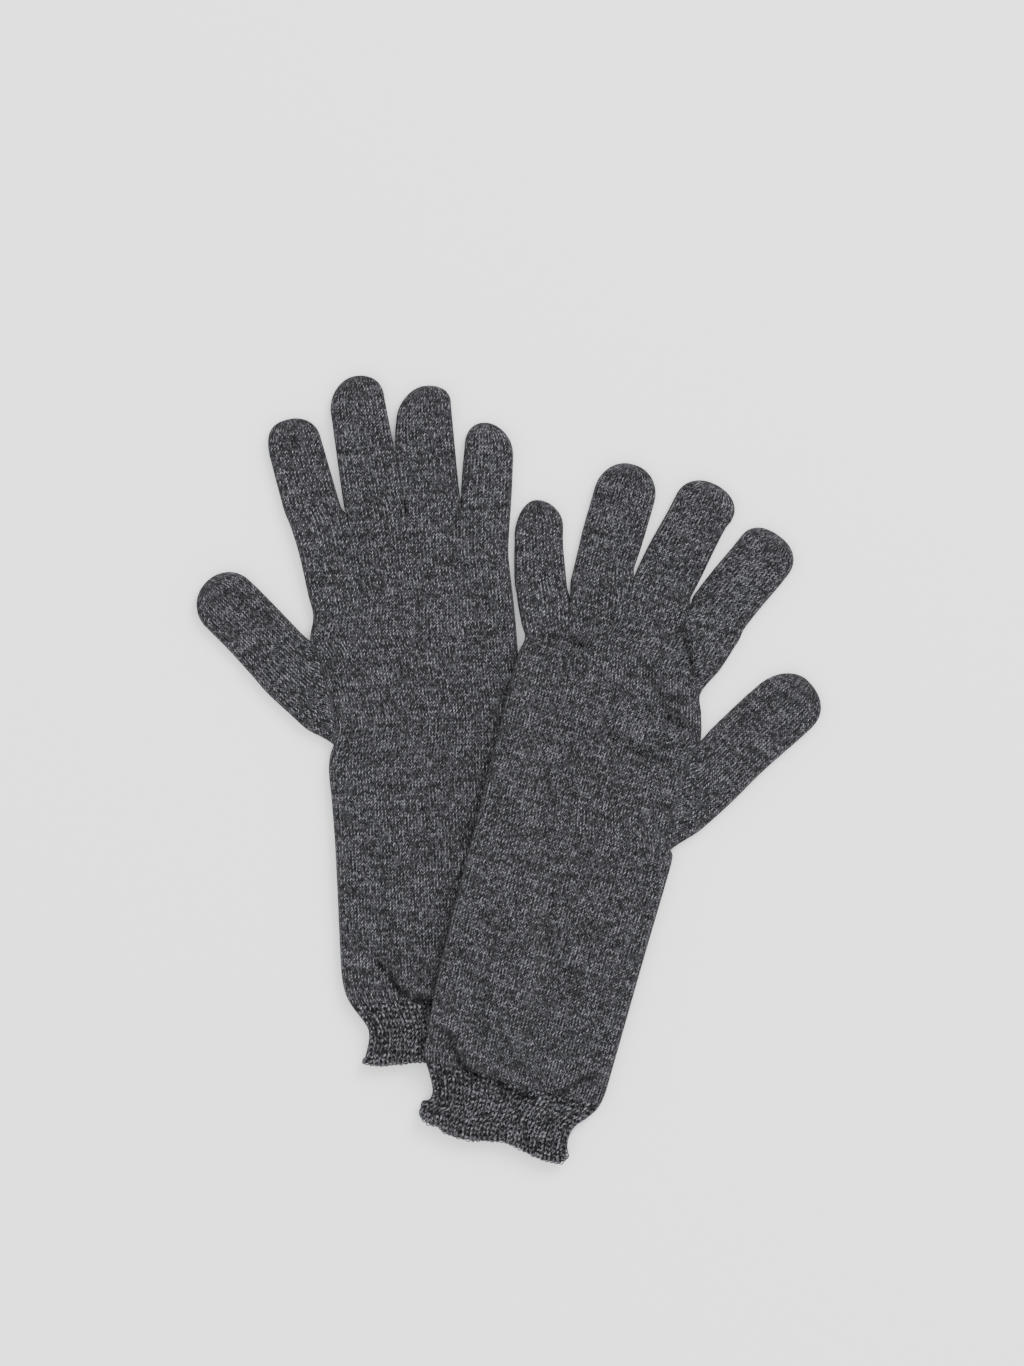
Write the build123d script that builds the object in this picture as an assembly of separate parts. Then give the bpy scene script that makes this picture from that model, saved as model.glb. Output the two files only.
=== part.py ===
"""A pair of long seamless knitted gloves laid flat, the right one resting on the left one's sleeve.

Each glove is knitted as a set of tubes: five fingers, a hand, a long sleeve, a short ribbed cuff with
elastic thread laid into its courses, and an overlocked hem round the mouth. Every tube is a hollow
wall of cloth, and all the hollows run into each other from the mouth to the fingertips.

Millimetres, +Z up, +Y towards the fingertips. The origin is the middle of the pair's bounding box,
on the surface that it lies on.

Each glove is drawn in a frame of its own: y runs up its middle line from the hem, and u runs across
it, positive towards the thumb.
"""

from build123d import *
import math
import os

# Cloth and thickness of the flattened tubes
JERSEY_WALL = 1.3
RIB_WALL = 1.7
HEM_WALL = 2.2
TUBE_THICK = 7.8
CUFF_THICK = 8.4
HEM_THICK = 9.4
EDGE_ROUND = 0.48  # fillet of a finger's edges, as a share of its thickness

# Lengths along a glove, measured from its mouth
HEM_TOP = 3.6
CUFF_TOP = 28.0
WRIST = 146.5
HAND_END = 275.0  # past every finger root, where the hand's blank ends before it is trimmed

# Elastic thread in the cuff
ELASTIC_COURSES = 5
ELASTIC_THREAD = 0.8
ELASTIC_DEPTH = 1.0

# Clearances
JOINT_GAP = 0.4  # between pieces that move on each other
THUMB_GAP = 0.9  # between a thumb and the ends of the slot it is knitted out of
DRAPE_GAP = 1.0  # between the gloves where one lies on the other
SUNK = 0.4  # how far a blank reaches below the surface before its resting face is cut

# How the upper glove comes down off the lower one
DRAPE_RUN = 14.0
DRAPE_END = 240.0
DRAPE_FULL = 212.0

LEFT = {
    "thumb_sign": -1,
    "hem_centre": (-30.25, -134.52),
    "turn": 2.5,
    "thumb_edge": [
        (0, 36.2), (15, 33.2), (29, 40.9), (42, 43.8), (100, 44.2), (132, 45.2),
        (148, 44.4), (196, 51.6), (222, 52.6), (237, 55.6), (251, 59.0),
    ],
    "little_edge": [
        (0, 36.0), (15, 33.0), (29, 40.5), (42, 43.6), (100, 44.0), (148, 44.0),
        (198, 43.2), (220, 41.6), (238, 42.0), (254, 43.4),
    ],
    "roots": {
        "index_finger": [(57.3, 247.9), (32.7, 252.6)],
        "middle_finger": [(32.7, 252.6), (5.4, 253.6)],
        "ring_finger": [(5.4, 253.6), (-20.4, 256.1)],
        "little_finger": [(-20.4, 256.1), (-43.3, 253.7)],
        "thumb": [(39.8, 147.5), (48.3, 195.6)],
    },
    "fingers": {
        "index_finger": {"lean": 14.0, "width": 24.9, "length": 49.2, "centre": 0.49},
        "middle_finger": {"lean": 7.2, "width": 25.7, "length": 63.3, "centre": 0.5},
        "ring_finger": {"lean": 3.9, "width": 25.0, "length": 56.2, "centre": 0.49},
        "little_finger": {"lean": -4.9, "width": 22.0, "length": 37.8, "centre": 0.5},
        "thumb": {"lean": 44.2, "width": 29.2, "length": 79.2, "centre": 0.41},
    },
}

RIGHT = {
    "thumb_sign": 1,
    "hem_centre": (-4.95, -171.32),
    "turn": -15.0,
    "thumb_edge": [
        (0, 33.8), (13, 32.4), (28, 40.4), (42, 42.3), (100, 43.6), (136, 44.1),
        (150, 43.2), (202, 42.8), (214, 40.0), (223, 37.2), (236, 43.0), (249, 47.4),
    ],
    "little_edge": [
        (0, 37.8), (15, 35.0), (28, 41.8), (40, 44.2), (73, 46.3), (149, 47.6),
        (187, 48.2), (221, 46.4), (242, 54.6), (256, 58.0),
    ],
    "roots": {
        "index_finger": [(47.3, 248.4), (21.9, 259.7)],
        "middle_finger": [(21.9, 259.7), (-6.5, 266.1)],
        "ring_finger": [(-6.5, 266.1), (-34.2, 266.3)],
        "little_finger": [(-32.4, 249.9), (-55.0, 242.4)],
        "thumb": [(39.7, 150.5), (39.5, 202.0)],
    },
    "fingers": {
        "index_finger": {"lean": 23.4, "width": 27.2, "length": 52.2, "centre": 0.52},
        "middle_finger": {"lean": 12.0, "width": 27.9, "length": 56.2, "centre": 0.51},
        "ring_finger": {"lean": 0.2, "width": 27.6, "length": 50.6, "centre": 0.5},
        "little_finger": {"lean": -18.2, "width": 22.6, "length": 46.2, "centre": 0.5},
        "thumb": {"lean": 32.6, "width": 29.2, "length": 82.4, "centre": 0.41},
    },
}

GLOVES = {"left": LEFT, "right": RIGHT}
FINGER_ORDER = ["index_finger", "middle_finger", "ring_finger", "little_finger"]

SLEEVE_STATIONS = [CUFF_TOP, 32, 36, 40, 45, 52, 60, 70, 82, 96, 110, 124, 136, WRIST]
HAND_STATIONS = [WRIST, 154, 163, 173, 183, 193, 203, 212, 220, 228, 236, 245, 258, HAND_END]
CUFF_STATIONS = [HEM_TOP, 7, 10.5, 14.5, 19, 23.5, CUFF_TOP]
HEM_STATIONS = [0.0, HEM_TOP / 2, HEM_TOP]


def smooth(t):
    """0 to 1 with a level start and end."""
    t = min(1.0, max(0.0, t))
    return t * t * (3 - 2 * t)


def along(points, y):
    """The value at y of a smooth curve through points (y, value), straight past its ends."""
    if y <= points[0][0] or y >= points[-1][0]:
        (y0, v0), (y1, v1) = points[:2] if y <= points[0][0] else points[-2:]
        return v0 + (v1 - v0) * (y - y0) / (y1 - y0)
    i = max(k for k in range(len(points) - 1) if points[k][0] <= y)

    def slope(k):
        before, after = points[max(k - 1, 0)], points[min(k + 1, len(points) - 1)]
        return (after[1] - before[1]) / (after[0] - before[0])

    (y0, v0), (y1, v1) = points[i], points[i + 1]
    run = y1 - y0
    t = (y - y0) / run
    start = (1 + 2 * t) * (1 - t) ** 2 * v0 + t * (1 - t) ** 2 * run * slope(i)
    end = t * t * (3 - 2 * t) * v1 + t * t * (t - 1) * run * slope(i + 1)
    return start + end


def to_pair(glove, x, y):
    """A point of a glove's own frame in the pair's frame."""
    a = math.radians(glove["turn"])
    cx, cy = glove["hem_centre"]
    return cx + x * math.cos(a) - y * math.sin(a), cy + x * math.sin(a) + y * math.cos(a)


def from_pair(glove, x, y):
    """A point of the pair's frame in a glove's own frame."""
    a = math.radians(glove["turn"])
    dx, dy = x - glove["hem_centre"][0], y - glove["hem_centre"][1]
    return dx * math.cos(a) + dy * math.sin(a), -dx * math.sin(a) + dy * math.cos(a)


def sides(glove, y):
    """The lowest and highest x of a glove at height y, in its own frame."""
    thumb, little = along(glove["thumb_edge"], y), along(glove["little_edge"], y)
    return (-thumb, little) if glove["thumb_sign"] < 0 else (-little, thumb)


def lift(glove, x, y):
    """How high a glove's underside is at a point of its own frame: the right one climbs the left."""
    if glove is LEFT:
        return 0.0
    lx, ly = from_pair(LEFT, *to_pair(RIGHT, x, y))
    inside_edge = sides(LEFT, min(max(ly, 0.0), 200.0))[1] - lx
    over = smooth(1 + inside_edge / DRAPE_RUN) * smooth(1 + ly / DRAPE_RUN)
    below = TUBE_THICK + (HEM_THICK - TUBE_THICK) * smooth((36 - ly) / 16)
    return (below + DRAPE_GAP) * over * smooth((DRAPE_END - y) / (DRAPE_END - DRAPE_FULL))


def ring(glove, y, thick, inset):
    """The closed outline of a flattened tube at height y, moved inwards by inset."""
    low, high = sides(glove, y)
    bottom = inset if inset > 0 else inset - SUNK
    round_ = (thick - inset - bottom) / 2
    low, high = low + inset + round_, high - inset - round_
    count = 2 if glove is LEFT else 13
    shares = [i / (count - 1) for i in range(count)]
    xs = [low + (high - low) * share for share in shares]
    under = [Vector(x, y, lift(glove, x, y) + bottom) for x in xs]
    over = [p + Vector(0, 0, 2 * round_) for p in under][::-1]
    middle = Vector(0, 0, round_)
    outward = Vector(round_, 0, 0)
    return Wire([
        Edge.make_spline(under, parameters=shares),
        Edge.make_three_point_arc(under[-1], under[-1] + middle + outward, over[0]),
        Edge.make_spline(over, parameters=shares),
        Edge.make_three_point_arc(over[-1], under[0] + middle - outward, under[0]),
    ])


def blank(glove, stations, thick, inset=0.0):
    """The solid that a tube's wall is made from, out to inset from its outside."""
    return Solid.make_loft([ring(glove, y, thick, inset) for y in stations], ruled=True)


def tube(glove, stations, thick, wall):
    """A flattened tube of cloth, open at both ends, with a level face where it rests."""
    past = 1.0
    inner = [stations[0] - past, *stations[1:-1], stations[-1] + past]
    shell = blank(glove, stations, thick) - blank(glove, inner, thick, wall)
    return shell - Pos(0, 150, -2) * Box(400, 500, 4)


def elastic(glove, inner):
    """The rings that the elastic thread's courses fill, from their depth in the wall to inner."""
    pitch = (CUFF_TOP - HEM_TOP) / (ELASTIC_COURSES + 1)
    rings = []
    for course in range(1, ELASTIC_COURSES + 1):
        y = HEM_TOP + pitch * course
        ends = [y, y + ELASTIC_THREAD]
        past = [y - 1, y + ELASTIC_THREAD + 1]
        outer = blank(glove, ends, CUFF_THICK, ELASTIC_DEPTH)
        rings.append(outer - blank(glove, past, CUFF_THICK, inner))
    return rings


def prism(glove, points):
    """A tall block over a plan outline of (u, y) points."""
    corners = [(glove["thumb_sign"] * u, y) for u, y in points]
    return Pos(0, 0, -20) * extrude(make_face(Polyline(*corners, close=True)), amount=60)


def beyond_roots(glove):
    """The block past the fingers' roots, which the hand is trimmed with."""
    line = [point for name in FINGER_ORDER for point in glove["roots"][name]]
    (u0, y0), (u1, y1) = line[0], line[-1]
    far = [(u1 - 60, y1 - 14), (-160, 400), (160, 400), (u0 + 60, y0 - 14)]
    return prism(glove, [*dict.fromkeys(line), *far])


def behind_root(glove, name, gap):
    """The block on the hand's side of a root line, moved out from the line by gap."""
    (u0, y0), (u1, y1) = glove["roots"][name]
    run = math.hypot(u1 - u0, y1 - y0)
    along_line = Vector(u1 - u0, y1 - y0) / run
    out = along_line.rotate(Axis.Z, 90 if u1 < u0 - 5 else -90)
    out = out if name != "thumb" or out.X > 0 else -out
    out = out if name == "thumb" or out.Y > 0 else -out
    start = Vector(u0, y0) + out * gap - along_line * 40
    end = Vector(u1, y1) + out * gap + along_line * 40
    return prism(glove, [tuple(p)[:2] for p in (start, end, end - out * 60, start - out * 60)])


def thumb_slot(glove, gap=0.0):
    """The block outside the thumb's root line, which opens the hand's side, short of each end by gap."""
    (u0, y0), (u1, y1) = glove["roots"]["thumb"]
    low, high = y0 + gap, y1 - gap
    return prism(glove, [(u0, low), (u0 + 40, low), (u1 + 40, high), (u1, high)])


def capsule(width, length, inset):
    """A finger's pad shape, round at its tip and open-ended at its root, moved inwards by inset."""
    half, back, top = width / 2 - inset, -30.0, length - inset
    thick = TUBE_THICK - 2 * inset
    side = Polyline((half, top - half), (half, back), (-half, back), (-half, top - half))
    tip = ThreePointArc((-half, top - half), (0, top), (half, top - half))
    pad = extrude(make_face(side + tip), amount=thick)
    rims = [
        e for e in pad.edges()
        if abs(e.center().Y - back) > 0.1 and abs(abs(e.center().Z - thick / 2) - thick / 2) < 0.01
    ]
    return Pos(0, 0, inset) * fillet(rims, radius=EDGE_ROUND * thick)


def finger(glove, name):
    """A finger's hollow tube, cut off along its root line, in the glove's own frame."""
    facts, sign = glove["fingers"][name], glove["thumb_sign"]
    (u0, y0), (u1, y1) = glove["roots"][name]
    centre = facts["centre"]
    middle = Pos(sign * (u0 + (u1 - u0) * centre), y0 + (y1 - y0) * centre, 0)
    place = middle * Rot(0, 0, -sign * facts["lean"])
    inner = capsule(facts["width"], facts["length"], JERSEY_WALL)
    shell = place * (capsule(facts["width"], facts["length"], 0.0) - inner)
    return shell - behind_root(glove, name, JOINT_GAP)


def make_glove(glove):
    """Every piece of one glove, by node name, in the glove's own frame."""
    wrist_gap = JOINT_GAP if glove is RIGHT else 0.0
    hand_stations = [WRIST + wrist_gap, *HAND_STATIONS[1:]]
    hand = tube(glove, hand_stations, TUBE_THICK, JERSEY_WALL)
    hand = hand - beyond_roots(glove) - thumb_slot(glove)
    cuff = tube(glove, CUFF_STATIONS, CUFF_THICK, RIB_WALL)
    for groove in elastic(glove, RIB_WALL + 0.4):
        cuff = cuff - groove
    nodes = {
        "hand": hand,
        "sleeve": tube(glove, SLEEVE_STATIONS, TUBE_THICK, JERSEY_WALL),
        "rib_cuff": cuff,
        "cuff_elastic": Compound(children=elastic(glove, RIB_WALL)),
        "cuff_hem": tube(glove, HEM_STATIONS, HEM_THICK, HEM_WALL),
    }
    for name in glove["fingers"]:
        nodes[name] = finger(glove, name)
    clear_hand = blank(glove, HAND_STATIONS, TUBE_THICK, -JOINT_GAP) - thumb_slot(glove, THUMB_GAP)
    clear_sleeve = blank(glove, SLEEVE_STATIONS, TUBE_THICK, -JOINT_GAP)
    nodes["thumb"] = nodes["thumb"] - clear_hand - clear_sleeve
    return nodes


def main():
    os.makedirs("parts", exist_ok=True)
    for side, glove in GLOVES.items():
        place = Pos(*glove["hem_centre"], 0) * Rot(0, 0, glove["turn"])
        for name, shape in make_glove(glove).items():
            export_step(place * shape, f"parts/{side}_{name}.step")


main()
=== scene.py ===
import math
from collections import namedtuple

import bpy
import numpy as np
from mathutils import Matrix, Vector


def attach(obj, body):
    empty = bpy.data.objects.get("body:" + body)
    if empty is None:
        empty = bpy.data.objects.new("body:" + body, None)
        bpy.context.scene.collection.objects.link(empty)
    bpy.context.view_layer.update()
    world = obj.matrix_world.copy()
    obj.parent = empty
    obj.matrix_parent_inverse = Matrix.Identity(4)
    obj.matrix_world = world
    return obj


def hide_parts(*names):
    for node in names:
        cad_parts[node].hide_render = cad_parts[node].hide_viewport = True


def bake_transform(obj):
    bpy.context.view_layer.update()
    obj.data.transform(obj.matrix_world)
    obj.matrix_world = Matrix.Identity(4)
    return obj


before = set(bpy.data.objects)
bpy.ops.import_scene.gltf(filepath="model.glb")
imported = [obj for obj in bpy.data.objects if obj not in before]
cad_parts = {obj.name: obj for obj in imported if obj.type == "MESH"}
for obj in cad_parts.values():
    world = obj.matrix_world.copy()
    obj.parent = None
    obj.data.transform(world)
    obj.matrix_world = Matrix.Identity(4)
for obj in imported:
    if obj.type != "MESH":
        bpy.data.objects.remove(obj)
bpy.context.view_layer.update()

# A pair of knitted gloves. Shapes are drawn in millimetres, in each glove's own frame: y up its
# middle line from the hem and x across it. Only the creases are drawn in the frame of the pair.

MM = 0.001
THICK = 5.6  # a flattened tube of cloth
CUFF_THICK = 5.4
EDGE_LEVEL = 0.42  # where a tube's two layers meet along its edges, as a share of its thickness
CLOTH = 0.9
RIB_CLOTH = 1.1
HEM_LOOPS = 1.1  # the open loops that stand past the hem's band
HEM_TOP = 3.6
CUFF_TOP = 28.0
WRIST = {"left": 146.5, "right": 146.7}

# flat sizes, round each tube and along it
SLEEVE_ROUND = 179
HAND_ROUND = 192
HAND_LENGTH = {"left": 106, "right": 108}
CUFF_FLAT = (145, 25)

# how far in from an edge the layers round over
TRUNK_ROUND = 3.6
FINGER_ROUND = 3.8
ROOT_ROUND = 4.3  # at the finger roots
THUMB_ROUND = 5.0  # at both ends of the thumb's opening
PRESSED_ROUND = 1.2  # where two fingers are pressed together

PRESSED_EDGE = 0.8  # how high such a side stays up at its very edge
PRESSED_LENGTH = 40.0  # how far out two fingers are pressed together
ROOT_REACH = 5.5  # how far the roundness of the finger roots reaches into the hand
TIP_RUN = 12.0  # the length of a fingertip
DRAPE_RUN = 22.0  # how far out from its root a finger comes down to the table
HEM_REACH = 20.0  # how far up the cuff the courses follow the hem's line
THUMB_INSET = 3.2  # how far a side draws in where the thumb joins
FAN_START = 0.25  # the share of the hand's length where its columns start to fan out
PUCKER_ROUND = 9.0  # how far in from an edge the puckers and creases reach full height
RIB_RELIEF = 0.40

# the knitting
RIBS = 19
WALES = 63  # across one layer of the trunk
COURSE = 1.40
WALE = 1.56

# the grids of points that the pieces are made of
COLUMNS = 6 * RIBS
STEPS = {"cuff_hem": 6, "rib_cuff": 28, "sleeve": 100, "hand": 92}  # rows of faces
TRUNK_WIDTH = 88  # a typical one, which sets how far the columns crowd
FINGER_WIDTH = 26
FINGER_STEP = 1.15
COARSE = 3  # cloth is simulated on every third row and column

# the overlock thread that is wound round the hem, and the elastic in the cuff
LOOP_PITCH = 2.3
LOOP_OUT = 1.15
LOOP_UP = 0.55
LOOP_STEPS = 12  # points in one turn of the thread
LOOP_INSET = 0.3  # how far in from the hem's edge it is wound
THREAD_RADIUS = 0.27
ELASTIC_RADIUS = 0.35
ELASTIC_RINGS = 5
ELASTIC_INSET = 2.6

# One side of a finger: points of (distance out, half width), the length its tip is rounded over, how
# square that round is, and the distance over which it parts from the root's own outline.
Side = namedtuple("Side", "points tip_round tip_power reach")

# A finger: the degrees it leans to the thumb's side, its length, how far its tip sits off its middle
# line, and its first and last side (from low to high x, or from low to high y for a thumb).
Finger = namedtuple("Finger", "lean length tip_shift first last")

# A crease: its line in the pair's frame, its depth and width, and how far the cloth swells beside it.
Crease = namedtuple("Crease", "line depth width swell")

# A finger's place: the middle of its root line, the ways along and across it, the root line's ends.
Place = namedtuple("Place", "middle axis across start end")

LEFT_FINGERS = {
    "index_finger": Finger(
        14.0, 50.1, -1.5,
        Side([(0, 13.8), (15, 13.7), (35, 13.1)], 16.0, 2.3, 10.0),
        Side([(5, 11.8), (35, 12.0)], 11.5, 2.3, 5.0)),
    "middle_finger": Finger(
        7.2, 64.1, 0.4,
        Side([(5, 14.3), (20, 14.0), (45, 13.1)], 16.0, 1.9, 5.0),
        Side([(0, 13.3), (25, 13.4), (32, 13.0), (49, 12.6)], 11.0, 2.2, 8.0)),
    "ring_finger": Finger(
        3.4, 56.1, 1.5,
        Side([(0, 13.1), (10, 13.7), (20, 14.3), (26, 14.6), (31, 14.5), (40, 13.5)], 19.0, 1.9, 8.0),
        Side([(0, 12.4), (25, 12.7), (46, 12.9)], 9.0, 2.1, 5.0)),
    "little_finger": Finger(
        -4.4, 37.7, -1.8,
        Side([(0, 12.2), (15, 11.9), (25, 11.3)], 12.0, 2.1, 5.0),
        Side([(0, 11.3), (24, 11.4)], 16.0, 2.0, 8.0)),
    "thumb": Finger(
        44.2, 80.3, 0.0,
        Side([(0, 17.4), (10, 17.5), (25, 17.6), (35, 16.6), (50, 15.4), (65, 14.9)], 14.5, 2.0, 16.0),
        Side([(25, 13.0), (30, 13.2), (50, 14.2), (60, 14.6)], 13.5, 2.0, 6.0)),
}

LEFT_CREASES = [
    Crease(
        [(-64, -84), (-54.7, -94.5), (-49, -103.0), (-42, -106.7), (-32, -107.4), (-18, -107)],
        4.6, 1.9, 2.0),
    Crease([(-38, -108), (-37.5, -118)], 1.6, 1.6, 0.3),
    Crease([(-84, 55), (-80, 38), (-79, 16)], 1.3, 1.4, 0.3),
]

RIGHT_FINGERS = {
    "index_finger": Finger(
        23.4, 52.0, 0.0,
        Side([(0, 14.6), (5, 15.1), (20, 15.4), (35, 15.0)], 11.0, 2.3, 6.0),
        Side([(-5, 14.6), (0, 14.0), (5, 13.1), (10, 12.6), (20, 12.6), (35, 13.1)], 12.0, 2.2, 8.0)),
    "middle_finger": Finger(
        12.0, 56.2, 0.0,
        Side([(0, 14.2), (5, 14.6), (17, 14.9), (35, 14.2)], 12.0, 2.1, 5.0),
        Side([(0, 13.2), (15, 13.4), (30, 13.1), (40, 13.2), (44, 14.0)], 10.5, 2.1, 5.0)),
    "ring_finger": Finger(
        0.2, 50.9, 0.0,
        Side([(-16, 13.4), (-5, 13.8), (5, 14.1), (15, 14.5), (30, 14.3)], 16.0, 2.1, 8.0),
        Side([(5, 13.1), (15, 13.7), (30, 14.1)], 14.5, 2.1, 5.0)),
    "little_finger": Finger(
        -18.2, 46.1, -0.8,
        Side([(-5, 11.5), (0, 12.0), (5, 12.7), (10, 12.8), (20, 12.4), (28, 11.8)], 18.0, 1.9, 8.0),
        Side([(0, 11.3), (10, 11.0), (25, 10.5), (34, 11.0)], 12.0, 1.9, 5.0)),
    "thumb": Finger(
        32.6, 82.7, 0.0,
        Side([(-5, 16.4), (5, 16.8), (20, 16.8), (35, 16.1), (45, 16.0), (60, 16.4)], 14.5, 2.3, 16.0),
        Side([(28, 14.0), (35, 14.5), (55, 15.0), (63, 14.8)], 19.0, 2.0, 6.0)),
}

RIGHT_CREASES = [
    Crease(
        [(-30, -119), (-24, -128), (-21.1, -135), (-15, -140), (-6.3, -143.7), (8.5, -150.3), (16.7, -151.9)],
        4.6, 1.9, 2.0),
    Crease([(18, -152.5), (24, -150.5), (31, -145.5), (40, -139)], 4.0, 1.8, 1.5),
    Crease([(74, 86), (78, 79), (82, 73.5)], 2.6, 1.5, 0.4),
    Crease([(79, 68), (82, 57), (84.5, 48), (90, 36)], 2.8, 1.5, 0.9),
    Crease([(61.5, 49.6), (65, 43), (69, 36.5), (73.6, 31), (80.3, 32.2), (88.5, 35.5)], 2.6, 1.5, 0.8),
    Crease([(58, 30), (67, 26), (73.6, 24.2), (80.3, 19.8), (86.3, 13.8), (88.5, 4.4)], 2.4, 1.6, 0.8),
    Crease(
        [(43, 19.5), (49.4, 13.2), (54, 10), (59.3, 8.2), (65, 4.4), (73.6, 2), (80, -3.4)],
        3.0, 1.8, 1.0),
    Crease([(2.5, 52), (8.3, 60.4), (25, 59.7), (42, 54)], 2.6, 1.5, 0.7),
    Crease([(25, 74), (37.3, 72.0), (53, 66)], 1.6, 1.9, 0.4),
    Crease([(12, -66), (20, -82), (26, -101)], 1.1, 3.2, 0.5),
]

# For each glove: sign is -1 where the thumb is on the low x side, centre and turn place its frame in
# the pair's, an edge is points of (y, distance from the middle line), and roots are the points
# between the fingers. order and columns list the fingers from low to high x and the columns of each.
# The thumb joins between the thumb_rows and starts from the thumb_fold; a finger starts from its root
# line, or the one in fold_lines. middles holds where a finger's middle line leaves its root line when
# that isn't half way, and pressed the side (-1 low, 1 high) that lies against the next finger.
# hem_line is points of (x, y of the hem there), and hem_wave is the height of its frill.
GLOVES = {
    "left": {
        "side": "left", "sign": -1, "centre": (-30.25, -134.52), "turn": 2.5,
        "thumb_edge": [
            (0, 36.5), (6, 34.6), (12, 33.2), (16, 33.4), (20, 35.6), (26, 39.8), (32, 42.9), (40, 44.4),
            (50, 44.7), (100, 44.9), (122, 45.6), (135.5, 46.3), (143, 45.4), (148, 43.7), (195.5, 52.2),
            (207, 50.4), (216.5, 52.2), (237, 55.9), (251, 59.6),
        ],
        "little_edge": [
            (0, 36.0), (6, 34.4), (15, 33.0), (29, 40.5), (42, 43.6), (100, 44.0), (148, 44.0),
            (198, 42.7), (212, 41.9), (222, 41.2), (232, 40.7), (244, 41.7), (254, 42.9),
        ],
        "roots": [(-58.5, 246.9), (-32.7, 252.6), (-5.6, 253.6), (20.4, 256.1), (43.2, 253.9)],
        "order": ["index_finger", "middle_finger", "ring_finger", "little_finger"],
        "columns": [28, 31, 29, 26],
        "thumb_rows": (147.5, 195.6), "thumb_fold": [(-39.8, 147.5), (-48.3, 195.6)],
        "middles": {"thumb": 0.41, "index_finger": 0.49, "ring_finger": 0.49},
        "pressed": {"middle_finger": 1, "ring_finger": -1},
        "fold_lines": {},
        "hem_line": [
            (-37, 0.7), (-32, -1.1), (-27, -1.5), (-19, -1.0), (-10, -0.4), (0, -0.8), (14, -1.5),
            (28, -1.0), (36, 0.3),
        ],
        "hem_wave": 0.4, "fingers": LEFT_FINGERS, "creases": LEFT_CREASES,
    },
    "right": {
        "side": "right", "sign": 1, "centre": (-4.95, -171.32), "turn": -15.0,
        "thumb_edge": [
            (0, 32.5), (1.6, 33.0), (3.4, 33.0), (6.6, 32.0), (11.6, 31.6), (15.8, 33.2),
            (20.8, 37.3), (26.4, 40.9), (33, 42.4), (42, 42.7), (100, 43.6), (136, 44.4),
            (147.5, 44.2), (150.9, 42.3), (202, 42.8), (214, 40.0), (223, 37.2), (236, 43.0),
            (249, 47.2),
        ],
        "little_edge": [
            (0, 37.2), (3, 38.2), (5.5, 38.3), (8, 37.3), (10, 35.4), (12, 34.6), (15, 34.8), (21, 37.7),
            (29, 42.1), (36, 43.6), (73, 46.3), (149, 47.6), (187, 48.4), (214, 49.0), (221, 48.5),
            (227, 47.6), (232, 50.3), (237, 52.8), (242, 55.1), (256, 62.0),
        ],
        "roots": [(-55.3, 242.4), (-32.4, 249.9), (-6.5, 266.1), (21.9, 259.7), (47.0, 248.7)],
        "order": ["little_finger", "ring_finger", "middle_finger", "index_finger"],
        "columns": [25, 31, 30, 28],
        "thumb_rows": (150.5, 202.0), "thumb_fold": [(39.7, 150.5), (39.5, 202.0)],
        "middles": {"thumb": 0.41, "index_finger": 0.48, "middle_finger": 0.49},
        "pressed": {},
        "fold_lines": {"ring_finger": [(-34.2, 266.3), (-6.5, 266.1)]},
        "hem_line": [
            (-37.4, 2.4), (-35.5, 0.3), (-31.7, -1.3), (-28, -0.7), (-24.4, -3.0), (-17.4, -3.7),
            (-10.8, -3.1), (-4.3, -1.4), (2.1, -0.2), (9, -0.9), (16.3, -2.4), (23.4, -3.4),
            (29.0, -3.2), (31.2, -2.2), (32.6, -0.3),
        ],
        "hem_wave": 0.7, "fingers": RIGHT_FINGERS, "creases": RIGHT_CREASES,
    },
}

# the seeds of each piece's own unevenness
NOISE_SEED = {"left": 11, "right": 12}
LOOP_SEED = {"left": 5, "right": 6}
FINGER_SEED = 3  # the first finger's, and the next ones count on from it
THUMB_SEED = 8

# how many stitches on the layer underneath is numbered, so that its shades are its own
FINGER_UNDER = 17
THUMB_UNDER = 41


def smooth(t):
    t = np.clip(t, 0.0, 1.0)
    return t * t * (3 - 2 * t)


def rounded(distance, radius):
    """Height share, 0 at an edge to 1 past radius, of an edge that is rounded over."""
    power = 2.7  # 2 would be a quarter circle, and more is squarer
    t = np.clip(distance / radius, 0.0, 1.0)
    return np.clip(1 - (1 - t) ** power, 0, 1) ** (1 / power)


def layer_top(thick, share):
    """How high the top layer of a tube lies, from its edge level to its full thickness."""
    return thick * (EDGE_LEVEL + (1 - EDGE_LEVEL) * share)


def layer_under(thick, share):
    return thick * EDGE_LEVEL * (1 - share)


def along(points, y):
    """A smooth curve through points (y, value), straight past its ends."""
    p = np.array(points, float)
    y = np.asarray(y, float)
    slopes = np.gradient(p[:, 1], p[:, 0])
    slopes[1:-1] = (p[2:, 1] - p[:-2, 1]) / (p[2:, 0] - p[:-2, 0])
    i = np.clip(np.searchsorted(p[:, 0], y) - 1, 0, len(p) - 2)
    run = p[i + 1, 0] - p[i, 0]
    t = np.clip((y - p[i, 0]) / run, 0, 1)
    value = (1 + 2 * t) * (1 - t) ** 2 * p[i, 1] + t * (1 - t) ** 2 * run * slopes[i]
    value = value + t * t * (3 - 2 * t) * p[i + 1, 1] + t * t * (t - 1) * run * slopes[i + 1]
    past = np.minimum(y - p[0, 0], 0) * slopes[0] + np.maximum(y - p[-1, 0], 0) * slopes[-1]
    return value + past


def to_pair(glove, x, y):
    """From a glove's own frame to the frame of the pair."""
    a = math.radians(glove["turn"])
    cx, cy = glove["centre"]
    return cx + x * math.cos(a) - y * math.sin(a), cy + x * math.sin(a) + y * math.cos(a)


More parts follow.
